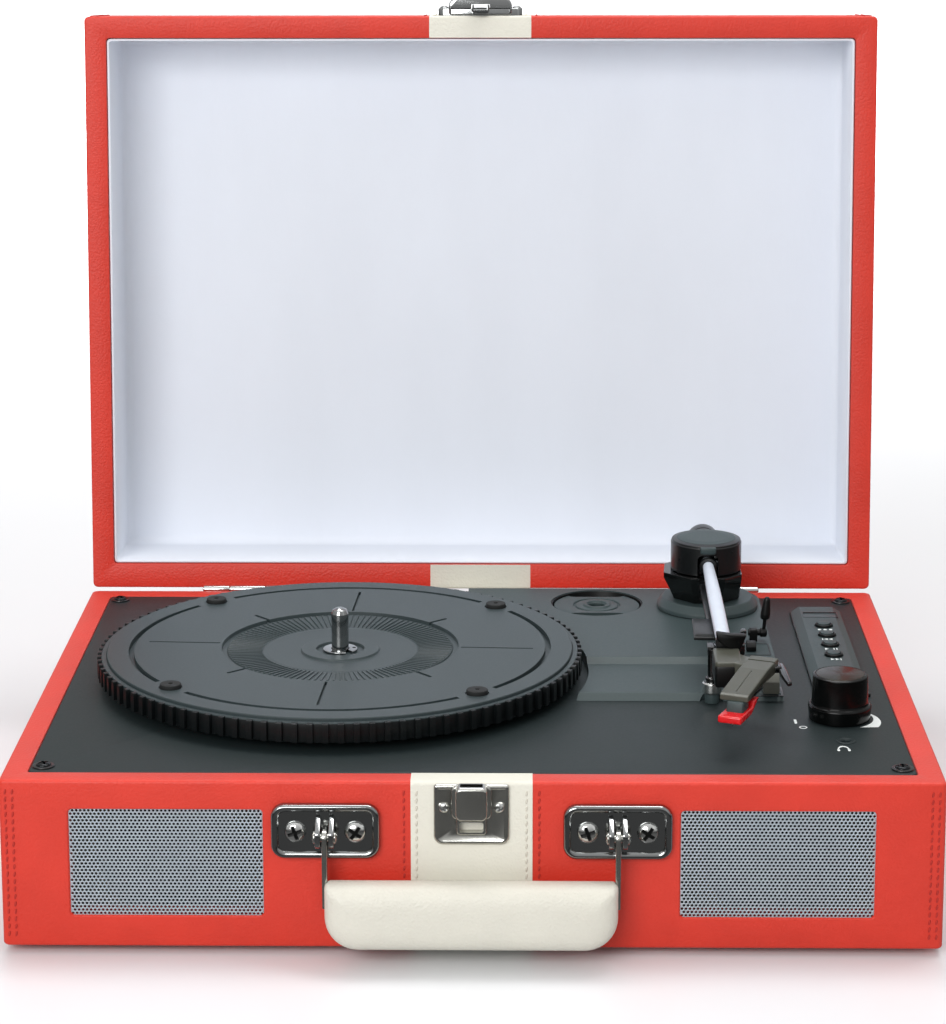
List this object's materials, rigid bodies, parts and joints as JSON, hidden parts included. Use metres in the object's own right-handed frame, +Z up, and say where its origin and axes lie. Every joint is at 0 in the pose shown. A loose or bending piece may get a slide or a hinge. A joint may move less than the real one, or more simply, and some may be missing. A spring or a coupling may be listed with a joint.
{
  "type": "suitcase record player",
  "caption": "Portable record player in a covered case with a hinged lid, belt-driven platter, pivoted arm, controls, front speakers and a carrying handle.",
  "frame": {"origin": "on the surface the feet stand on, under the middle of the box round the whole object with the lid open", "axes": "+X to the right as seen from the front, +Y to the back where the lid is hinged, +Z up"},
  "size_m": [0.35, 0.3437, 0.3343],
  "materials": {
    "red_covering": "grained red leatherette over board, satin",
    "cream_covering": "grained cream leatherette, satin",
    "case_board": "bare fibreboard",
    "deck_plastic": "fine textured satin, near black",
    "platter_plastic": "satin moulded grey-black",
    "gloss_black": "polished black",
    "rubber": "matt",
    "chrome": "bright plated steel",
    "grille_metal": "perforated sheet, satin grey",
    "speaker_paper": "pressed paper cone",
    "lining": "fine off-white lining",
    "arm_silver": "painted silver, satin",
    "stylus_red": "clear moulded red",
    "circuit_board": "solder-masked laminate",
    "screen": "smoked display window"
  },
  "bodies": {
    "root": {"base_frame": "red_covering", "base_floor": "case_board", "foot_front_left": "rubber", "foot_front_right": "rubber", "foot_rear_left": "rubber", "foot_rear_right": "rubber", "speaker_grille_left": "grille_metal", "speaker_grille_right": "grille_metal", "speaker_left": "speaker_paper", "speaker_right": "speaker_paper", "deck_plate": "deck_plastic", "mechanism_cover": "deck_plastic", "control_panel": "deck_plastic", "display_window": "screen", "headphone_jack": "gloss_black", "spindle": "chrome", "spindle_clip": "chrome", "drive_motor": "chrome", "drive_belt": "rubber", "main_board": "circuit_board", "arm_base": "deck_plastic", "arm_rest": "gloss_black", "rest_clip": "gloss_black", "latch_keeper": "chrome", "handle_plate_left": "chrome", "handle_plate_right": "chrome", "base_hinge_leaf_left": "chrome", "base_hinge_leaf_right": "chrome", "rear_jack_plate": "gloss_black", "dc_inlet": "gloss_black"},
    "lid": {"lid_frame": "red_covering", "lid_panel": "red_covering", "lid_lining": "lining", "lid_hinge_leaf_left": "chrome", "lid_hinge_leaf_right": "chrome", "latch_plate": "chrome"},
    "latch_tab": {"latch_tab": "chrome"},
    "latch_tongue": {"latch_tongue": "chrome"},
    "handle": {"handle_strap_left": "chrome", "handle_strap_right": "chrome", "handle_grip": "cream_covering"},
    "platter": {"platter": "platter_plastic"},
    "pulley": {"motor_pulley": "arm_silver"},
    "turret": {"arm_turret": "gloss_black", "arm_cap": "gloss_black"},
    "arm": {"arm_tube": "arm_silver", "counterweight": "gloss_black", "headshell": "deck_plastic", "cartridge": "gloss_black", "stylus": "stylus_red"},
    "cue_platform": {"cue_platform": "deck_plastic"},
    "cue_lever": {"cue_lever": "gloss_black"},
    "knob": {"volume_knob": "gloss_black"},
    "button_mode": {"button_mode": "gloss_black"},
    "button_previous": {"button_previous": "gloss_black"},
    "button_play": {"button_play": "gloss_black"},
    "button_next": {"button_next": "gloss_black"},
    "speed_switch": {"speed_switch": "deck_plastic"},
    "autostop_switch": {"autostop_switch": "gloss_black"},
    "adapter": {"adapter_45": "deck_plastic"}
  },
  "joints": [
    {"name": "lid_hinge", "type": "hinge", "parent": "root", "child": "lid", "pos_m": [0, 0.1041, 0.06815], "axis": [1, 0, 0], "range_deg": [0, 94.4]},
    {"name": "latch_tab_turn", "type": "hinge", "parent": "lid", "child": "latch_tab", "pos_m": [0, 0.14214, 0.33241], "axis": [1, 0, 0], "range_deg": [-70, 0]},
    {"name": "latch_tongue_slide", "type": "slide", "parent": "lid", "child": "latch_tongue", "axis": [0, 0.9971, -0.0767], "range_m": [0, 0.006]},
    {"name": "handle_hinge", "type": "hinge", "parent": "root", "child": "handle", "pos_m": [0, -0.1594, 0.0485], "axis": [1, 0, 0], "range_deg": [-120, 0]},
    {"name": "platter_spin", "type": "hinge", "parent": "root", "child": "platter", "pos_m": [-0.0557, -0.0239, 0.081], "axis": [0, 0, 1], "continuous": true},
    {"name": "pulley_spin", "type": "hinge", "parent": "root", "child": "pulley", "pos_m": [-0.10661, 0.02701, 0.073], "axis": [0, 0, 1], "continuous": true},
    {"name": "arm_swing", "type": "hinge", "parent": "root", "child": "turret", "pos_m": [0.0987, 0.0616, 0.078], "axis": [0, 0, 1], "range_deg": [-46, 0]},
    {"name": "arm_lift", "type": "hinge", "parent": "turret", "child": "arm", "pos_m": [0.0987, 0.0616, 0.096], "axis": [1, 0, 0], "range_deg": [-3.6, 0]},
    {"name": "cue_platform_lift", "type": "slide", "parent": "turret", "child": "cue_platform", "axis": [0, 0, 1], "range_m": [0, 0.0045]},
    {"name": "cue_lever_turn", "type": "hinge", "parent": "root", "child": "cue_lever", "pos_m": [0.12, 0.0106, 0.0765], "axis": [1, 0, 0], "range_deg": [0, 45]},
    {"name": "volume_turn", "type": "hinge", "parent": "root", "child": "knob", "pos_m": [0.143, -0.0774, 0.083], "axis": [0, 0, 1], "range_deg": [-150, 150]},
    {"name": "button_mode_press", "type": "slide", "parent": "root", "child": "button_mode", "axis": [0, 0, 1], "range_m": [-0.0008, 0], "stiffness_N_per_m": 400},
    {"name": "button_previous_press", "type": "slide", "parent": "root", "child": "button_previous", "axis": [0, 0, 1], "range_m": [-0.0008, 0], "stiffness_N_per_m": 400},
    {"name": "button_play_press", "type": "slide", "parent": "root", "child": "button_play", "axis": [0, 0, 1], "range_m": [-0.0008, 0], "stiffness_N_per_m": 400},
    {"name": "button_next_press", "type": "slide", "parent": "root", "child": "button_next", "axis": [0, 0, 1], "range_m": [-0.0008, 0], "stiffness_N_per_m": 400},
    {"name": "speed_select", "type": "slide", "parent": "root", "child": "speed_switch", "axis": [1, 0, 0], "range_m": [-0.008, 0]},
    {"name": "autostop_select", "type": "slide", "parent": "root", "child": "autostop_switch", "axis": [1, 0, 0], "range_m": [0, 0.005]},
    {"name": "adapter_lift_off", "type": "slide", "parent": "root", "child": "adapter", "axis": [0, 0, -1], "range_m": [-0.03, 0]}
  ],
  "couplings": [
    {"joint": "pulley_spin", "follows": "platter_spin", "ratio": 12},
    {"joint": "latch_tab_turn", "follows": "latch_tongue_slide", "rad_per_m": -203.62},
    {"joint": "cue_lever_turn", "follows": "cue_platform_lift", "rad_per_m": 174.53},
    {"joint": "arm_lift", "follows": "cue_platform_lift", "rad_per_m": -13.18}
  ]
}
